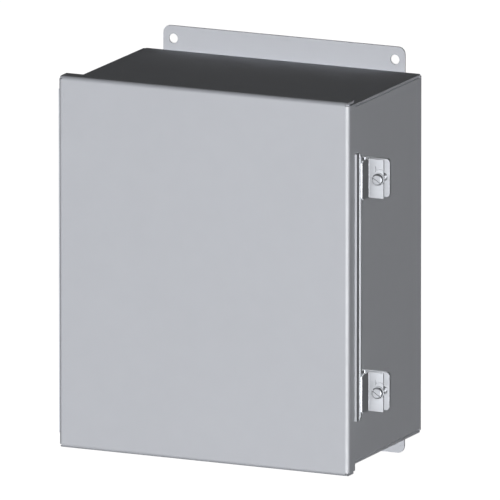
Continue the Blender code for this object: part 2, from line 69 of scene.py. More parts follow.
BODY_HALF_X, BODY_HALF_Z = 0.1270, 0.1524
BODY_BEND = 0.0024
COLLAR_BEND = 0.0026
COLLAR_FILLET = 0.4 * SHEET    # under the rolled rim, where it meets the wall
DOOR_BEND = 0.0038
DOOR_SLIT_REACH = 0.9 * DOOR_BEND
GASKET_WIDTH, GASKET_ROUND = 0.0125, 0.0009
FLANGE_CORNER = 0.0064
WALL_HOLE_X, WALL_HOLE_Z, WALL_HOLE_RADIUS = 0.1016, 0.1619, 0.0040

HINGE_SHEET = 0.0011
HINGE_KNUCKLES = 11
PIN_RADIUS = 0.0012
PIN_EDGE = 0.0003
KNUCKLE_RADIUS = PIN_RADIUS + GAP + HINGE_SHEET

RAIL_SHEET = 0.0019
RAIL_BEND = 0.0002
RAIL_CHAMFER = 0.0045
CLAMP_SHEET = 0.0015
CLAMP_BEND = 0.0003
CLAMP_ARM_REACH = 0.0057       # outer face of the finger's arm beyond the door's side
NOSE_CHAMFER = 0.0030
BRACKET_SHEET = 0.0027
BRACKET_BEND = 0.0010
BRACKET_CORNER = 0.0032

SCREW_RADIUS, SCREW_PITCH = 0.0031, 0.00127     # 1/4-20
THREAD_DEPTH = 0.00042
HEAD_RADIUS = 0.0047
HEAD_HEIGHT = 0.0036
HEAD_CROWN, HEAD_CHAMFER = 0.0013, 0.0003       # rounding of its front edge, bevel of its back
SLOT_WIDTH, SLOT_DEPTH, SLOT_ANGLE = 0.0011, 0.0009, radians(-32)
SHANK_OVERLAP = 0.0004         # how far the shank's solid starts inside the head
CLAMP_SLIDE = 0.0024

# The mark stamped on each clamp: a stroke and an arc, placed from the screw's axis.
MARK_DEPTH = 0.0006
STROKE_LEFT, STROKE_RIGHT, STROKE_LOW, STROKE_HIGH = -0.0032, -0.0024, 0.0058, 0.0105
CURVE_X, CURVE_Z, CURVE_OUTER, CURVE_INNER = 0.0012, 0.0032, 0.0058, 0.0050
CURVE_START, CURVE_END = radians(50), radians(128)

# Threads: trapezoid grooves that run out plain at both ends.
RINGS_PER_TURN = 8
TIP_LENGTH, TIP_DEPTH = 0.6, 1.6                # the tip's bevel, in pitches and thread depths
GROOVE_SLOPE, GROOVE_LAND = 1.5, 0.25

# Fixings inside the cabinet.
STUD_RADIUS, STUD_PITCH, STUD_BORE = SCREW_RADIUS, SCREW_PITCH, SCREW_RADIUS + GAP
STUD_COLLAR_RADIUS, STUD_COLLAR = 0.0064, 0.0127
EARTH_RADIUS, EARTH_PITCH, EARTH_BORE = 0.0024, 0.0008, 0.0027
STUD_THREAD_DEPTH = 0.3        # in pitches
STUD_THREAD_START = 0.9        # part of the collar's height at which the thread's solid starts
NUT_CHAMFER = 0.55             # its height, as a part of the step from flats to corners
NUT_MARGIN = 0.002             # how far its cutter reaches past the corners
TOOTH_ROOT, TOOTH_CLEAR = 0.76, 1.1             # the cuts' ends, as parts of the washer's radius
TOOTH_GAP = 0.225              # the cuts' width, as a part of the teeth's pitch

door_low, door_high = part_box("door")
body_low, body_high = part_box("enclosure_body")
DOOR_FACE = door_low.y
DOOR_SIDE = door_high.x
HINGE_LOW, HINGE_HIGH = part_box("hinge_pin")
HINGE_X = (HINGE_LOW.x + HINGE_HIGH.x) / 2
HINGE_Y = (HINGE_LOW.y + HINGE_HIGH.y) / 2
LEAF_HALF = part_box("hinge_door_leaf")[1].z

# ---- Camera, floor and lights ---------------------------------------------------------------

CAMERA_AZIMUTH, CAMERA_ELEVATION = 24.88, 12.38
CAMERA_DISTANCE, CAMERA_LENS = 18.976, 1650.0
AIM_ACROSS, AIM_ABOVE = 0.03905, 0.0218         # from the middle of the door's face

FLOOR_HALF, FLOOR_DROP, FLOOR_SHEET = 150.0, 0.75, 0.02
FLOOR_GREY, FLOOR_ROUGHNESS = 0.9, 0.9

AMBIENT = 0.05
GLOW_AZIMUTH, GLOW_ELEVATION = 155.0, -10.0     # a soft light on the cabinet's back
GLOW_LEVEL, GLOW_SHARPNESS = 0.12, 6.0


# ---- Materials ------------------------------------------------------------------------------

class Look:
    """A principled material whose inputs come from textures in object space."""

    def __init__(self, name, colour, roughness, metallic=0.0):
        self.material = bpy.data.materials.new(name)
        self.material.use_nodes = True
        self.tree = self.material.node_tree
        self.shader = self.tree.nodes["Principled BSDF"]
        self.shader.inputs["Base Color"].default_value = (*colour, 1.0)
        self.shader.inputs["Roughness"].default_value = roughness
        self.shader.inputs["Metallic"].default_value = metallic
        self.bump = None

    def node(self, kind, **values):
        made = self.tree.nodes.new(kind)
        for key, value in values.items():
            setattr(made, key, value)
        return made

    def join(self, source, target):
        self.tree.links.new(source, target)

    def coordinates(self, scale):
        place = self.node("ShaderNodeTexCoord")
        mapping = self.node("ShaderNodeMapping")
        mapping.inputs["Scale"].default_value = scale
        self.join(place.outputs["Object"], mapping.inputs["Vector"])
        return mapping.outputs["Vector"]

    def noise(self, scale, detail=2.0, stretch=(1, 1, 1)):
        texture = self.node("ShaderNodeTexNoise")
        texture.inputs["Scale"].default_value = scale
        texture.inputs["Detail"].default_value = detail
        self.join(self.coordinates(stretch), texture.inputs["Vector"])
        return texture.outputs["Fac"]

    def cells(self, scale):
        texture = self.node("ShaderNodeTexVoronoi")
        texture.inputs["Scale"].default_value = scale
        self.join(self.coordinates((1, 1, 1)), texture.inputs["Vector"])
        return texture.outputs["Distance"]

    def spread(self, value, low, high, start=0.3, end=0.7):
        """Map a texture's middle range `start` to `end` onto `low` to `high`."""
        remap = self.node("ShaderNodeMapRange")
        for key, number in (("From Min", start), ("From Max", end),
                            ("To Min", low), ("To Max", high)):
            remap.inputs[key].default_value = number
        self.join(value, remap.inputs["Value"])
        return remap.outputs["Result"]

    def tint(self, value, low, high):
        """Blend the base colour from `low` to `high` by a texture."""
        mix = self.node("ShaderNodeMix", data_type="RGBA")
        mix.inputs["A"].default_value = (*low, 1.0)
        mix.inputs["B"].default_value = (*high, 1.0)
        self.join(self.spread(value, 0.0, 1.0), mix.inputs["Factor"])
        self.join(mix.outputs["Result"], self.shader.inputs["Base Color"])

    def vary(self, socket, value, low, high):
        self.join(self.spread(value, low, high), self.shader.inputs[socket])

    def relief(self, value, strength, distance):
        """Stack one more bump on top of those already there."""
        bump = self.node("ShaderNodeBump")
        bump.inputs["Strength"].default_value = strength
        bump.inputs["Distance"].default_value = distance
        self.join(value, bump.inputs["Height"])
        if self.bump:
            self.join(self.bump.outputs["Normal"], bump.inputs["Normal"])
        self.join(bump.outputs["Normal"], self.shader.inputs["Normal"])
        self.bump = bump


def shade(colour, factor):
    return tuple(min(1.0, channel * factor) for channel in colour)


PAINT_COLOUR = (0.50, 0.52, 0.57)
ENAMEL_COLOUR = (0.80, 0.80, 0.78)
STEEL_COLOUR = (0.62, 0.64, 0.68)
GRAIN_STRETCH = 0.02
UNMIRRORED_SLOTS = ("stainless", "enclosure_paint")     # left out of reflections, to keep faces even


def powder_coat(name, colour, roughness, gloss):
    """Baked powder: satin, with a fine orange peel; `gloss` is its refractive index."""
    look = Look(name, colour, roughness)
    look.shader.inputs["IOR"].default_value = gloss
    look.tint(look.noise(scale=14.0, detail=3.0), shade(colour, 0.992), shade(colour, 1.008))
    look.vary("Roughness", look.noise(scale=70.0, detail=3.0),
              low=roughness - 0.035, high=roughness + 0.035)
    look.relief(look.noise(scale=420.0, detail=1.0), strength=0.16, distance=0.0001)
    look.relief(look.noise(scale=1500.0), strength=0.10, distance=0.00005)
    return look.material


def brushed_steel(name, colour, roughness, grain):
    """Rolled stainless; `grain` names the axes that its fine lines run along."""
    look = Look(name, colour, roughness, metallic=1.0)
    stretch = tuple(GRAIN_STRETCH if axis in grain else 1.0 for axis in "xyz")
    lines = look.noise(scale=2600.0, stretch=stretch)
    look.tint(look.noise(scale=90.0, detail=3.0, stretch=stretch), colour, shade(colour, 1.12))
    look.vary("Roughness", lines, low=roughness - 0.06, high=roughness + 0.08)
    look.relief(lines, strength=0.08, distance=0.00002)
    return look.material


def zinc_plate(name):
    """Plated fixings: mottled crystals with a faint yellow passivation."""
    look = Look(name, (0.66, 0.64, 0.58), 0.33, metallic=1.0)
    look.tint(look.noise(scale=260.0, detail=4.0), (0.60, 0.61, 0.60), (0.74, 0.69, 0.58))
    look.vary("Roughness", look.noise(scale=520.0, detail=3.0), low=0.26, high=0.42)
    look.relief(look.cells(scale=1400.0), strength=0.12, distance=0.00005)
    return look.material


def foam_rubber(name):
    """Closed-cell foam: matt black with fine open pores in its cut skin."""
    look = Look(name, (0.03, 0.03, 0.03), 0.86)
    look.tint(look.noise(scale=900.0, detail=4.0), (0.018, 0.018, 0.019), (0.045, 0.045, 0.046))
    look.vary("Roughness", look.noise(scale=700.0), low=0.80, high=0.95)
    look.relief(look.cells(scale=1700.0), strength=0.5, distance=0.00018)
    look.relief(look.noise(scale=300.0, detail=3.0), strength=0.25, distance=0.0002)
    return look.material


paint = powder_coat("grey_powder_coat", PAINT_COLOUR, roughness=0.60, gloss=2.9)
enamel = powder_coat("white_panel_enamel", ENAMEL_COLOUR, roughness=0.50, gloss=1.4)
steel_upright = brushed_steel("stainless_upright_grain", STEEL_COLOUR, 0.35, "z")
steel_level = brushed_steel("stainless_level_grain", STEEL_COLOUR, 0.35, "xy")
steel_turned = brushed_steel("stainless_turned", STEEL_COLOUR, 0.48, "xyz")
zinc = zinc_plate("zinc_plate")
rubber = foam_rubber("black_foam_rubber")


# ---- Outlines -------------------------------------------------------------------------------

def arc(centre, radius, start, end, steps):
    angles = [start + (end - start) * step / steps for step in range(steps + 1)]
    return [(centre[0] + radius * cos(a), centre[1] + radius * sin(a)) for a in angles]


def circle(centre, radius, steps=48):
    return arc(centre, radius, 0.0, 2 * pi, steps)[:-1]


def rectangle(left, right, low, high):
    return [(left, low), (right, low), (right, high), (left, high)]


def slot_outline(left, right, middle, radius, steps=20):
    return (arc((right, middle), radius, -pi / 2, pi / 2, steps)
            + arc((left, middle), radius, pi / 2, 1.5 * pi, steps))


def folded_strip(path, thickness, bend, steps=8):
    """Outline of a folded sheet: `path` is its middle line and `bend` its inner fold radius."""
    points = [Vector(point) for point in path]
    radius = bend + thickness / 2
    line = [(points[0], (points[1] - points[0]).normalized())]
    for before, corner, after in zip(points, points[1:], points[2:]):
        entry, leave = (corner - before).normalized(), (after - corner).normalized()
        turn = -entry.angle_signed(leave)
        side = 1 if turn > 0 else -1
        start = corner - entry * radius * tan(abs(turn) / 2)
        centre = start + Vector((-entry.y, entry.x)) * radius * side
        for step in range(steps + 1):
            turned = turn * step / steps
            arm = start - centre
            arm = Vector((arm.x * cos(turned) - arm.y * sin(turned),
                          arm.x * sin(turned) + arm.y * cos(turned)))
            line.append((centre + arm, Vector((-arm.y, arm.x)).normalized() * side))
    line.append((points[-1], (points[-1] - points[-2]).normalized()))
    offset = thickness / 2
    left = [(p.x - t.y * offset, p.y + t.x * offset) for p, t in line]
    right = [(p.x + t.y * offset, p.y - t.x * offset) for p, t in line]
    return left + right[::-1]


# ---- Solids ---------------------------------------------------------------------------------

def extrude(shape, corners, travel):
    near = [shape.verts.new(corner) for corner in corners]
    far = [shape.verts.new(corner + travel) for corner in corners]
    shape.faces.new(near)
    shape.faces.new(far)
    bridge(shape, near, far)


def bridge(shape, ring, other):
    for here in range(len(ring)):
        there = (here + 1) % len(ring)
        shape.faces.new((ring[here], ring[there], other[there], other[here]))


def upright(outline, low, high, shape=None):
    """A prism whose outline lies in the XY plane."""
    shape = shape or bmesh.new()
    extrude(shape, [Vector((x, y, low)) for x, y in outline], UP * (high - low))
    return shape


def facing(outline, front, back, shape=None):
    """A prism whose outline lies in the XZ plane."""
    shape = shape or bmesh.new()
    extrude(shape, [Vector((x, front, z)) for x, z in outline], Vector((0, back - front, 0)))
    return shape


def join_rings(shape, rings, closed):
    for ring, other in zip(rings, rings[1:]):
        bridge(shape, ring, other)
    if closed:
        bridge(shape, rings[-1], rings[0])
    else:
        shape.faces.new(rings[0])
        shape.faces.new(rings[-1])
    return shape


def turned(profile, x, z, closed, steps=48):
    """Turn (radius, y) points round an axis parallel to Y."""
    shape = bmesh.new()
    rings = [[shape.verts.new((px, y, pz)) for px, pz in circle((x, z), radius, steps)]
             for radius, y in profile]
    return join_rings(shape, rings, closed)


def framed(profile, half_width, half_height, closed):
    """Sweep (outward offset, y) points round a rectangle with mitred corners."""
    shape = bmesh.new()
    rings = []
    for offset, y in profile:
        corners = rectangle(-half_width - offset, half_width + offset,
                            -half_height - offset, half_height + offset)
        rings.append([shape.verts.new((x, y, z)) for x, z in corners])
    return join_rings(shape, rings, closed)


def threaded(x, z, root_y, tip_y, radius, pitch, depth, steps=32):
    """A screw shank along Y whose ends run out plain, with a bevelled tip at `tip_y`."""
    shape = bmesh.new()
    length = abs(tip_y - root_y)
    way = 1 if tip_y > root_y else -1
    count = int(length / pitch * RINGS_PER_TURN)
    rings = []
    for index in range(count + 1):
        along = length * index / count
        fade = min(1.0, along / pitch, (length - along) / pitch)
        taper = max(0.0, 1.0 - (length - along) / (pitch * TIP_LENGTH)) * depth * TIP_DEPTH
        ring = []
        for step in range(steps):
            angle = 2 * pi * step / steps
            phase = (along / pitch + step / steps) % 1.0
            groove = 1.0 - abs(2 * phase - 1.0)
            groove = min(1.0, max(0.0, groove * GROOVE_SLOPE - GROOVE_LAND))
            reach = radius - depth * groove * fade - taper
            ring.append(shape.verts.new((x + reach * cos(angle), root_y + way * along,
                                         z + reach * sin(angle))))
        rings.append(ring)
    return join_rings(shape, rings, closed=False)


# ---- Pieces ---------------------------------------------------------------------------------

def as_object(name, shape):
    bmesh.ops.recalc_face_normals(shape, faces=shape.faces)
    mesh = bpy.data.meshes.new(name)
    shape.to_mesh(mesh)
    shape.free()
    item = bpy.data.objects.new(name, mesh)
    bpy.context.scene.collection.objects.link(item)
    return item


def combine(item, shape, operation):
    """Add a closed shape to an object or take it away, and keep the result as its mesh."""
    other = as_object("other", shape)
    modifier = item.modifiers.new("combine", "BOOLEAN")
    modifier.operation, modifier.solver, modifier.object = operation, "EXACT", other
    bpy.context.view_layer.update()
    done = item.evaluated_get(bpy.context.evaluated_depsgraph_get())
    mesh = bpy.data.meshes.new_from_object(done)
    item.modifiers.clear()
    item.data = mesh
    bpy.data.objects.remove(other)


def carve(item, *cutters):
    for cutter in cutters:
        combine(item, cutter, "DIFFERENCE")


def round_edges(item, width, angle=SHARP_ANGLE):
    bevel = item.modifiers.new("edge", "BEVEL")
    bevel.width, bevel.segments = width, EDGE_SEGMENTS
    bevel.limit_method, bevel.angle_limit = "ANGLE", radians(angle)
    return bevel


def finish_piece(item, node, look, edge=0.0, angle=SHARP_ANGLE):
    """Smooth, bevel and paint a piece that stands for the CAD node of that name."""
    item.data.name = item.name
    item.data.materials.clear()
    item.data.materials.append(look)
    item.data.shade_smooth()
    item.data.set_sharp_from_angle(angle=radians(angle))
    if edge:
        bevel = round_edges(item, edge, angle)
        bevel.use_clamp_overlap = True
        bevel.miter_outer = "MITER_ARC"
        bevel.harden_normals = True
    body = next(name for name, members in frame["record"]["behaviour"]["bodies"].items()
                if node in members)
    slot = next(part["material_slot"] for part in frame["record"]["subparts"]
                if part["node"] == node)
    item.visible_glossy = slot not in UNMIRRORED_SLOTS
    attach(item, body)
    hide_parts(node)


def at_corners(boxes):
    """Boxes (x0, x1, y0, y1, z0, z1) for the upper right corner, repeated at all four."""
    shape = bmesh.new()
    for x0, x1, front, back, z0, z1 in boxes:
        for side in (-1, 1):
            for level in (-1, 1):
                xs, zs = sorted((side * x0, side * x1)), sorted((level * z0, level * z1))
                facing(rectangle(*xs, *zs), front, back, shape)
    return shape


def make_body():
    """One folded pan with stepped corner seams and a rolled rim round its opening."""
    front, back = body_low.y, body_high.y
    reach = body_high.x - BODY_HALF_X
    inner = BODY_BEND - SHEET
    profile = [(offset, y) for y, offset in arc((back - BODY_BEND, -BODY_BEND), BODY_BEND,
                                                0.0, pi / 2, steps=8)]
    profile += [(0.0, front + 2 * SHEET)]
    profile += arc((COLLAR_FILLET, front + SHEET + COLLAR_FILLET), COLLAR_FILLET,
                   -pi, -pi / 2, steps=4)
    profile += [(reach, front + SHEET), (reach, front)]
    profile += arc((COLLAR_BEND - SHEET, front + COLLAR_BEND), COLLAR_BEND,
                   -pi / 2, -pi, steps=8)
    profile += [(-SHEET, back - SHEET - inner), (-SHEET - inner, back - SHEET)]
    item = as_object("body_shell", framed(profile, BODY_HALF_X, BODY_HALF_Z, closed=False))
    start, seam = front + SHEET + GAP, BODY_HALF_Z - SHEET
    carve(item, at_corners([(BODY_HALF_X - SEAM_DEPTH, BODY_HALF_X + SHEET, start,
                             back - BACK_RELIEF, seam - SEAM_WIDTH, seam)]))
    carve(item, at_corners([(BODY_HALF_X - CORNER_CUT, BODY_HALF_X + SHEET,
                             back - BACK_RELIEF, back + SHEET,
                             BODY_HALF_Z - CORNER_CUT, BODY_HALF_Z + SHEET)]))
    finish_piece(item, "enclosure_body", paint, PAINT_EDGE)


def make_flange(node, level):
    """A drilled flange with round outer corners; `level` is 1 at the top and -1 below."""
    low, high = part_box(node)
    outer = high.z if level > 0 else -low.z
    inner = low.z if level > 0 else -high.z
    half = high.x
    middle = outer - FLANGE_CORNER
    outline = [(half, inner)]
    outline += arc((half - FLANGE_CORNER, middle), FLANGE_CORNER, 0.0, pi / 2, steps=14)
    outline += arc((FLANGE_CORNER - half, middle), FLANGE_CORNER, pi / 2, pi, steps=14)
    outline += [(-half, inner)]
    outline = [(x, level * z) for x, z in outline]
    item = as_object(node.replace("mounting", "wall"), facing(outline, low.y, high.y))
    holes = bmesh.new()
    for x in (-WALL_HOLE_X, WALL_HOLE_X):
        facing(circle((x, level * WALL_HOLE_Z), WALL_HOLE_RADIUS), low.y - SHEET,
               high.y + SHEET, holes)
    carve(item, holes)
    finish_piece(item, node, paint, PAINT_EDGE)


def make_door():
    """A folded tray whose top and bottom edges stop short of its sides."""
    inner = DOOR_BEND - SHEET
    back = door_high.y
    profile = arc((-DOOR_BEND, DOOR_FACE + DOOR_BEND), DOOR_BEND, -pi / 2, 0.0, steps=14)
    profile += [(0.0, back), (-SHEET, back)]
    profile += arc((-DOOR_BEND, DOOR_FACE + DOOR_BEND), inner, 0.0, -pi / 2, steps=6)
    item = as_object("door_tray", framed(profile, DOOR_SIDE, door_high.z, closed=False))
    top, before, behind = door_high.z, DOOR_FACE - SHEET, back + SHEET
    carve(item, at_corners([(DOOR_SIDE - DOOR_STEP, DOOR_SIDE + SHEET, before, behind,
                             top - SHEET, top + SHEET)]))
    carve(item, at_corners([(DOOR_SIDE - DOOR_SLIT_REACH, DOOR_SIDE + SHEET, before, behind,
                             top - SHEET - DOOR_SLIT, top - SHEET)]))
    finish_piece(item, "door", paint, PAINT_EDGE)


def make_gasket():
    """A foam strip round the door's inside, with soft edges towards the body."""
    low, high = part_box("door_gasket")
    outer = high.x - DOOR_SIDE
    inner, level = outer - GASKET_WIDTH, high.y - GASKET_ROUND
    profile = [(outer, low.y)]
    profile += arc((outer - GASKET_ROUND, level), GASKET_ROUND, 0.0, pi / 2, steps=5)
    profile += arc((inner + GASKET_ROUND, level), GASKET_ROUND, pi / 2, pi, steps=5)
    profile += [(inner, low.y)]
    item = as_object("gasket_strip", framed(profile, DOOR_SIDE, door_high.z, closed=True))
    finish_piece(item, "door_gasket", rubber, STEEL_EDGE)


def make_rail():
    """An angle along the door's free edge, with its lip's corners cut off."""
    low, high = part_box("clamp_rail")
    root = low.x + RAIL_SHEET / 2
    lip = high.y - RAIL_SHEET / 2
    path = [(root, low.y), (root, lip), (high.x, lip)]
    outline = folded_strip(path, RAIL_SHEET, RAIL_BEND)
    item = as_object("rail_angle", upright(outline, low.z, high.z))
    cutters = bmesh.new()
    start = low.x + RAIL_SHEET
    for side in (-1, 1):
        corner = [(start, side * (high.z + GAP)), (high.x + GAP, side * (high.z + GAP)),
                  (high.x + GAP, side * (high.z - RAIL_CHAMFER))]
        facing(corner, low.y, high.y + GAP, cutters)
    carve(item, cutters)
    finish_piece(item, "clamp_rail", steel_upright, STEEL_EDGE)


def knuckle_gaps(first, reach_x, reach_y):
    """Clearance for the other leaf's knuckles, every second one from `first`."""
    shape = bmesh.new()
    length = 2 * LEAF_HALF / HINGE_KNUCKLES
    start = -length * HINGE_KNUCKLES / 2
    outline = rectangle(HINGE_X - 2 * KNUCKLE_RADIUS, HINGE_X + reach_x,
                        HINGE_Y - reach_y, HINGE_Y + 2 * KNUCKLE_RADIUS)
    for index in range(first, HINGE_KNUCKLES, 2):
        low = start + index * length
        upright(outline, low - GAP / 2, low + length + GAP / 2, shape)
    return shape


def hinge_bore():
    half = HINGE_HIGH.z + GAP
    return upright(circle((HINGE_X, HINGE_Y), PIN_RADIUS + GAP, steps=32), -half, half)


def make_door_leaf():
    """The leaf on the door's side, whose knuckles curl from its own plane."""
    right = HINGE_X + KNUCKLE_RADIUS
    left = right - HINGE_SHEET
    low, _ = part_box("hinge_door_leaf")
    meets = 2 * pi - acos((left - HINGE_X) / KNUCKLE_RADIUS)
    outline = [(right, low.y)]
    outline += arc((HINGE_X, HINGE_Y), KNUCKLE_RADIUS, 0.0, meets, steps=44)
    outline += [(left, low.y)]
    leaf = as_object("door_leaf", upright(outline, -LEAF_HALF, LEAF_HALF))
    carve(leaf, hinge_bore(), knuckle_gaps(0, 2 * KNUCKLE_RADIUS, KNUCKLE_RADIUS + GAP))
    finish_piece(leaf, "hinge_door_leaf", steel_upright, STEEL_EDGE)


def make_body_leaf():
    """The leaf on the body, folded back along its side."""
    _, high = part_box("hinge_body_leaf")
    back = HINGE_Y + KNUCKLE_RADIUS
    front = back - HINGE_SHEET
    wall, bend = high.x, HINGE_SHEET
    centre = (wall - bend - HINGE_SHEET, back + bend)
    meets = 2 * pi + asin((front - HINGE_Y) / KNUCKLE_RADIUS)
    outline = arc((HINGE_X, HINGE_Y), KNUCKLE_RADIUS, pi / 2, meets, steps=44)
    outline += arc(centre, bend + HINGE_SHEET, -pi / 2, 0.0, steps=10)
    outline += [(wall, high.y), (wall - HINGE_SHEET, high.y)]
    outline += arc(centre, bend, 0.0, -pi / 2, steps=10)
    leaf = as_object("body_leaf", upright(outline, -LEAF_HALF, LEAF_HALF))
    carve(leaf, hinge_bore(), knuckle_gaps(1, KNUCKLE_RADIUS + GAP, 2 * KNUCKLE_RADIUS))
    finish_piece(leaf, "hinge_body_leaf", steel_upright, STEEL_EDGE)


def make_hinge_pin():
    outline = circle((HINGE_X, HINGE_Y), PIN_RADIUS, steps=32)
    pin = as_object("pin", upright(outline, HINGE_LOW.z, HINGE_HIGH.z))
    finish_piece(pin, "hinge_pin", steel_upright, PIN_EDGE)


def make_clamp(label):
    """One clamp: finger, washer, screw and bracket, all placed from the screw's axis."""
    low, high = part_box(label + "_clamp_screw")
    axis = (low.x + high.x) / 2, (low.z + high.z) / 2
    make_finger(label, *axis)
    make_clamp_washer(label, *axis)
    make_screw(label, *axis)
    make_bracket(label, *axis)


def make_finger(label, axis_x, axis_z):
    """The Z-shaped plate that hooks over the rail, slotted so that it slides off."""
    low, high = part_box(label + "_clamp")
    middle = CLAMP_SHEET / 2
    arm = DOOR_SIDE + CLAMP_ARM_REACH - middle
    nose, plate = low.y + middle, high.y - middle
    path = [(low.x, nose), (arm, nose), (arm, plate), (high.x, plate)]
    finger = as_object(label + "_finger",
                       upright(folded_strip(path, CLAMP_SHEET, CLAMP_BEND), low.z, high.z))
    cuts = facing(slot_outline(axis_x - CLAMP_SLIDE, axis_x, axis_z, SCREW_RADIUS + GAP),
                  plate - CLAMP_SHEET, plate + CLAMP_SHEET)
    for edge, inward in ((low.z, 1), (high.z, -1)):
        corner = [(low.x - GAP, edge - inward * GAP), (low.x + NOSE_CHAMFER, edge - inward * GAP),
                  (low.x - GAP, edge + inward * NOSE_CHAMFER)]
        facing(corner, low.y - GAP, nose + CLAMP_SHEET, cuts)
    carve(finger, cuts, stamped_mark(axis_x, axis_z, face=high.y - CLAMP_SHEET))
    finish_piece(finger, label + "_clamp", steel_level, STEEL_EDGE)


def stamped_mark(x, z, face):
    """A shallow stroke and arc stamped above the screw, which say nothing."""
    front, back = face - MARK_DEPTH, face + MARK_DEPTH
    stroke = rectangle(x + STROKE_LEFT, x + STROKE_RIGHT, z + STROKE_LOW, z + STROKE_HIGH)
    shape = facing(stroke, front, back)
    middle = (x + CURVE_X, z + CURVE_Z)
    outer = arc(middle, CURVE_OUTER, CURVE_START, CURVE_END, steps=10)
    inner = arc(middle, CURVE_INNER, CURVE_END, CURVE_START, steps=10)
    return facing(outer + inner, front, back, shape)


def make_clamp_washer(label, axis_x, axis_z):
    low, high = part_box(label + "_clamp_washer")
    inner, outer = SCREW_RADIUS + GAP, (high.x - low.x) / 2
    profile = [(inner, low.y), (inner, high.y), (outer, high.y), (outer, low.y)]
    washer = as_object(label + "_washer", turned(profile, axis_x, axis_z, closed=True))
    finish_piece(washer, label + "_clamp_washer", steel_turned, STEEL_EDGE)


def make_screw(label, axis_x, axis_z):
    """A slotted round head on a threaded shank."""
    low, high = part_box(label + "_clamp_screw")
    front, seat = low.y, low.y + HEAD_HEIGHT
    profile = [(SCREW_RADIUS, seat), (HEAD_RADIUS - HEAD_CHAMFER, seat),
               (HEAD_RADIUS, seat - HEAD_CHAMFER)]
    profile += arc((HEAD_RADIUS - HEAD_CROWN, front + HEAD_CROWN), HEAD_CROWN,
                   0.0, -pi / 2, steps=9)
    head = turned(profile, axis_x, axis_z, closed=False, steps=64)
    item = as_object(label + "_screw", head)
    slot = facing(rectangle(-2 * HEAD_RADIUS, 2 * HEAD_RADIUS, -SLOT_WIDTH / 2, SLOT_WIDTH / 2),
                  front - SLOT_DEPTH, front + SLOT_DEPTH)
    for vertex in slot.verts:
        x, z = vertex.co.x, vertex.co.z
        vertex.co.x = axis_x + x * cos(SLOT_ANGLE) - z * sin(SLOT_ANGLE)
        vertex.co.z = axis_z + x * sin(SLOT_ANGLE) + z * cos(SLOT_ANGLE)
    carve(item, slot)
    shank = threaded(axis_x, axis_z, seat - SHANK_OVERLAP, high.y, SCREW_RADIUS, SCREW_PITCH,
                     THREAD_DEPTH)
    combine(item, shank, "UNION")
    finish_piece(item, label + "_clamp_screw", steel_turned, angle=38)


def make_bracket(label, axis_x, axis_z):
    """An angle welded to the body's side, with a hole for the screw."""
    low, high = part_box(label + "_clamp_bracket")
    middle = BRACKET_SHEET / 2
    front = high.y - BRACKET_SHEET
    path = [(high.x, front + middle), (low.x + middle, front + middle), (low.x + middle, low.y)]
    outline = folded_strip(path, BRACKET_SHEET, BRACKET_BEND)
    item = as_object(label + "_bracket", upright(outline, low.z, high.z))
    cuts = facing(circle((axis_x, axis_z), SCREW_RADIUS + GAP), front - GAP, high.y + GAP)
    for edge, inward in ((low.z, 1), (high.z, -1)):
        centre = (high.x - BRACKET_CORNER, edge + inward * BRACKET_CORNER)
        curve = arc(centre, BRACKET_CORNER, 0.0, -inward * pi / 2, steps=10)
        corner = curve + [(centre[0], edge - inward * GAP),
                          (high.x + GAP, edge - inward * GAP), (high.x + GAP, centre[1])]
        facing(corner, front - GAP, high.y + GAP, cuts)
    carve(item, cuts)
    finish_piece(item, label + "_clamp_bracket", steel_level, STEEL_EDGE)


def make_nut(name, node, bore):
    """A hexagon nut with both ends chamfered."""
    low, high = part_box(node)
    x, z = (low.x + high.x) / 2, (low.z + high.z) / 2
    corner = (high.x - low.x) / 2
    flat = corner * cos(pi / 6)
    item = as_object(name, facing(circle((x, z), corner, steps=6), low.y, high.y))
    rise = (corner - flat) * NUT_CHAMFER
    margin = corner + NUT_MARGIN
    for end, inward in ((low.y, 1), (high.y, -1)):
        profile = [(flat, end - inward * GAP), (corner + GAP, end + inward * rise),
                   (margin, end + inward * rise), (margin, end - inward * GAP)]
        carve(item, turned(profile, x, z, closed=True))
    carve(item, facing(circle((x, z), bore, steps=32), low.y - GAP, high.y + GAP))
    finish_piece(item, node, zinc, STEEL_EDGE)


def make_star_washer(name, node, bore, teeth=12):
    """A lock washer with teeth round its rim."""
    low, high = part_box(node)
    x, z = (low.x + high.x) / 2, (low.z + high.z) / 2
    outer = (high.x - low.x) / 2
    item = as_object(name, facing(circle((x, z), outer), low.y, high.y))
    cuts = facing(circle((x, z), bore, steps=32), low.y - GAP, high.y + GAP)
    half_gap = outer * pi / teeth * TOOTH_GAP
    gap = rectangle(outer * TOOTH_ROOT, outer * TOOTH_CLEAR, -half_gap, half_gap)
    for tooth in range(teeth):
        angle = 2 * pi * (tooth + 0.5) / teeth
        outline = [(x + along * cos(angle) - across * sin(angle),
                    z + along * sin(angle) + across * cos(angle)) for along, across in gap]
        facing(outline, low.y - GAP, high.y + GAP, cuts)
    carve(item, cuts)
    finish_piece(item, node, zinc, STEEL_EDGE / 2)


def make_stud(name, node, radius, pitch, collar_radius=0.0, collar=0.0, forward=True):
    """A weld stud whose thread runs towards -Y, or +Y when `forward` is False."""
    low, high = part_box(node)
    x, z = (low.x + high.x) / 2, (low.z + high.z) / 2
    base, tip = (high.y, low.y) if forward else (low.y, high.y)
    top = base + (-collar if forward else collar)
    root = base + (top - base) * STUD_THREAD_START
    item = as_object(name, threaded(x, z, root, tip, radius, pitch,
                                    pitch * STUD_THREAD_DEPTH, steps=24))
    if collar:
        profile = [(collar_radius, base), (collar_radius, top)]
        combine(item, turned(profile, x, z, closed=False), "UNION")
    finish_piece(item, node, zinc, angle=40)


def make_panel():
    """The CAD panel itself, enamelled."""
    node = frame["nodes"]["mounting_panel"]
    node.data.materials.clear()
    node.data.materials.append(enamel)
    round_edges(node, PAINT_EDGE)


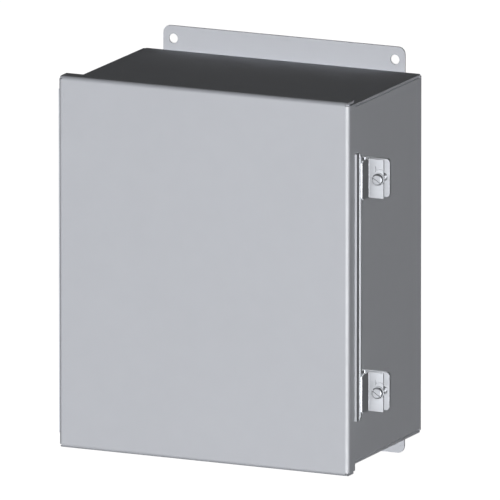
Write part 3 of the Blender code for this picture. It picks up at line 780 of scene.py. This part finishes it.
def make_fixings():
    """The panel's four collar studs and the two earthing studs, each with washer and nut."""
    for place in ("upper_left", "upper_right", "lower_left", "lower_right"):
        make_stud("stud_" + place, "panel_stud_" + place, STUD_RADIUS, STUD_PITCH,
                  STUD_COLLAR_RADIUS, STUD_COLLAR)
        make_star_washer("star_washer_" + place, "panel_washer_" + place, STUD_BORE)
        make_nut("nut_" + place, "panel_nut_" + place, STUD_BORE)
    for owner, forward in (("body", True), ("door", False)):
        make_stud("earth_stud_" + owner, owner + "_ground_stud", EARTH_RADIUS, EARTH_PITCH,
                  forward=forward)
        make_star_washer("earth_washer_" + owner, owner + "_ground_washer", EARTH_BORE)
        make_nut("earth_nut_" + owner, owner + "_ground_nut", EARTH_BORE)


# ---- Studio ---------------------------------------------------------------------------------

def towards(azimuth, elevation):
    """Unit vector at an azimuth measured from the door's front (-Y) towards +X, in degrees."""
    a, e = radians(azimuth), radians(elevation)
    return Vector((sin(a) * cos(e), -cos(a) * cos(e), sin(e)))


def add_sun(name, azimuth, elevation, strength, softness, diffuse=True, glossy=True):
    """A shadowless light that shows on matt surfaces, in reflections, or in both."""
    light = bpy.data.lights.new(name, "SUN")
    light.energy = strength * pi
    light.angle = radians(softness)
    light.use_shadow = False
    lamp = bpy.data.objects.new(name, light)
    lamp.visible_diffuse, lamp.visible_glossy = diffuse, glossy
    lamp.rotation_euler = towards(azimuth, elevation).to_track_quat("Z", "Y").to_euler()
    bpy.context.scene.collection.objects.link(lamp)


def calculate(tree, operation, first, second):
    """A maths node on two values, each a socket or a number."""
    node = tree.nodes.new("ShaderNodeMath")
    node.operation = operation
    for socket, value in zip(node.inputs, (first, second)):
        if isinstance(value, float):
            socket.default_value = value
        else:
            tree.links.new(value, socket)
    return node.outputs[0]


def make_world():
    """White where the camera sees it; elsewhere dim, with one broad glow."""
    world = bpy.data.worlds.new("studio")
    bpy.context.scene.world = world
    world.use_nodes = True
    tree = world.node_tree
    tree.nodes.clear()
    place = tree.nodes.new("ShaderNodeTexCoord")
    dot = tree.nodes.new("ShaderNodeVectorMath")
    dot.operation = "DOT_PRODUCT"
    tree.links.new(place.outputs["Generated"], dot.inputs[0])
    dot.inputs[1].default_value = towards(GLOW_AZIMUTH, GLOW_ELEVATION)
    near = calculate(tree, "MAXIMUM", dot.outputs["Value"], 0.0)
    glow = calculate(tree, "MULTIPLY", calculate(tree, "POWER", near, GLOW_SHARPNESS), GLOW_LEVEL)
    lit = tree.nodes.new("ShaderNodeBackground")
    tree.links.new(calculate(tree, "ADD", glow, AMBIENT), lit.inputs["Strength"])
    seen = tree.nodes.new("ShaderNodeBackground")
    seen.inputs["Color"].default_value = (1, 1, 1, 1)
    mix = tree.nodes.new("ShaderNodeMixShader")
    path = tree.nodes.new("ShaderNodeLightPath")
    tree.links.new(path.outputs["Is Camera Ray"], mix.inputs["Fac"])
    tree.links.new(lit.outputs[0], mix.inputs[1])
    tree.links.new(seen.outputs[0], mix.inputs[2])
    output = tree.nodes.new("ShaderNodeOutputWorld")
    tree.links.new(mix.outputs[0], output.inputs["Surface"])


def make_floor():
    """A plain white floor far below the cabinet, bright enough to show no shadow."""
    square = rectangle(-FLOOR_HALF, FLOOR_HALF, -FLOOR_HALF, FLOOR_HALF)
    floor = as_object("floor", upright(square, -FLOOR_DROP, -FLOOR_DROP - FLOOR_SHEET))
    look = bpy.data.materials.new("floor_white")
    look.use_nodes = True
    shader = look.node_tree.nodes["Principled BSDF"]
    shader.inputs["Base Color"].default_value = (FLOOR_GREY, FLOOR_GREY, FLOOR_GREY, 1)
    shader.inputs["Roughness"].default_value = FLOOR_ROUGHNESS
    shader.inputs["Emission Color"].default_value = (1, 1, 1, 1)
    shader.inputs["Emission Strength"].default_value = 1.0
    floor.data.materials.append(look)
    floor.visible_diffuse = floor.visible_glossy = floor.visible_shadow = False


def make_camera():
    """Almost parallel, from 25 degrees round from the front and 12 degrees up."""
    toward = towards(CAMERA_AZIMUTH, CAMERA_ELEVATION)
    across = Vector((cos(radians(CAMERA_AZIMUTH)), sin(radians(CAMERA_AZIMUTH)), 0))
    above = toward.cross(across)
    aim = Vector((0, DOOR_FACE, 0)) + across * AIM_ACROSS + above * AIM_ABOVE
    data = bpy.data.cameras.new("camera")
    data.lens, data.sensor_width = CAMERA_LENS, 36.0
    data.clip_start, data.clip_end = 1.0, 400.0
    camera = bpy.data.objects.new("camera", data)
    camera.location = aim + toward * CAMERA_DISTANCE
    camera.rotation_euler = toward.to_track_quat("Z", "Y").to_euler()
    bpy.context.scene.collection.objects.link(camera)
    bpy.context.scene.camera = camera


make_body()
make_flange("top_mounting_flange", 1)
make_flange("bottom_mounting_flange", -1)
make_door()
make_gasket()
make_rail()
make_door_leaf()
make_body_leaf()
make_hinge_pin()
make_clamp("upper")
make_clamp("lower")
make_panel()
make_fixings()

make_floor()
make_camera()
make_world()
add_sun("front", azimuth=-25.0, elevation=-12.5, strength=0.32, softness=60, diffuse=False)
add_sun("key", azimuth=18.5, elevation=-2.0, strength=0.77, softness=30, glossy=False)
add_sun("sheen", azimuth=50.0, elevation=0.0, strength=0.95, softness=50, diffuse=False)
add_sun("rear", azimuth=200.0, elevation=-12.0, strength=0.55, softness=20, glossy=False)
bpy.context.scene.view_settings.view_transform = "Standard"
bpy.context.scene.view_settings.look = "None"
